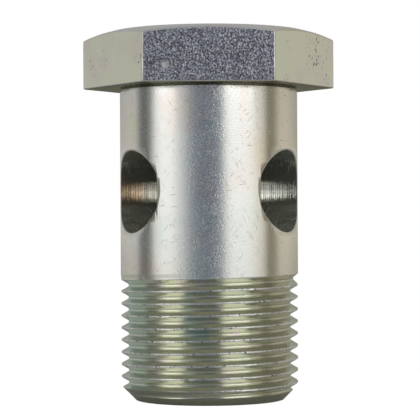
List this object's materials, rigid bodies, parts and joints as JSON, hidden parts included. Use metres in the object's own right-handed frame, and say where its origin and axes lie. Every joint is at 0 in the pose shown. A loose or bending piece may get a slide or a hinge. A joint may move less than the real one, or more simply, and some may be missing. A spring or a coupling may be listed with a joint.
{
  "type": "banjo bolt",
  "caption": "Hollow hexagon-head bolt with radial ports in a plain shank, which clamps a banjo fitting and carries its fluid.",
  "frame": {"origin": "centre of the threaded end's face", "axes": "+Z along the bolt's axis, up to the head; -Y square to the front flat of the head; +X to its right-hand corner"},
  "size_m": [0.031, 0.027, 0.0454],
  "materials": {
    "zinc_plated_steel": "bright zinc plate with an olive-yellow passivated film"
  },
  "bodies": {
    "root": {"banjo_bolt": "zinc_plated_steel"}
  },
  "joints": []
}
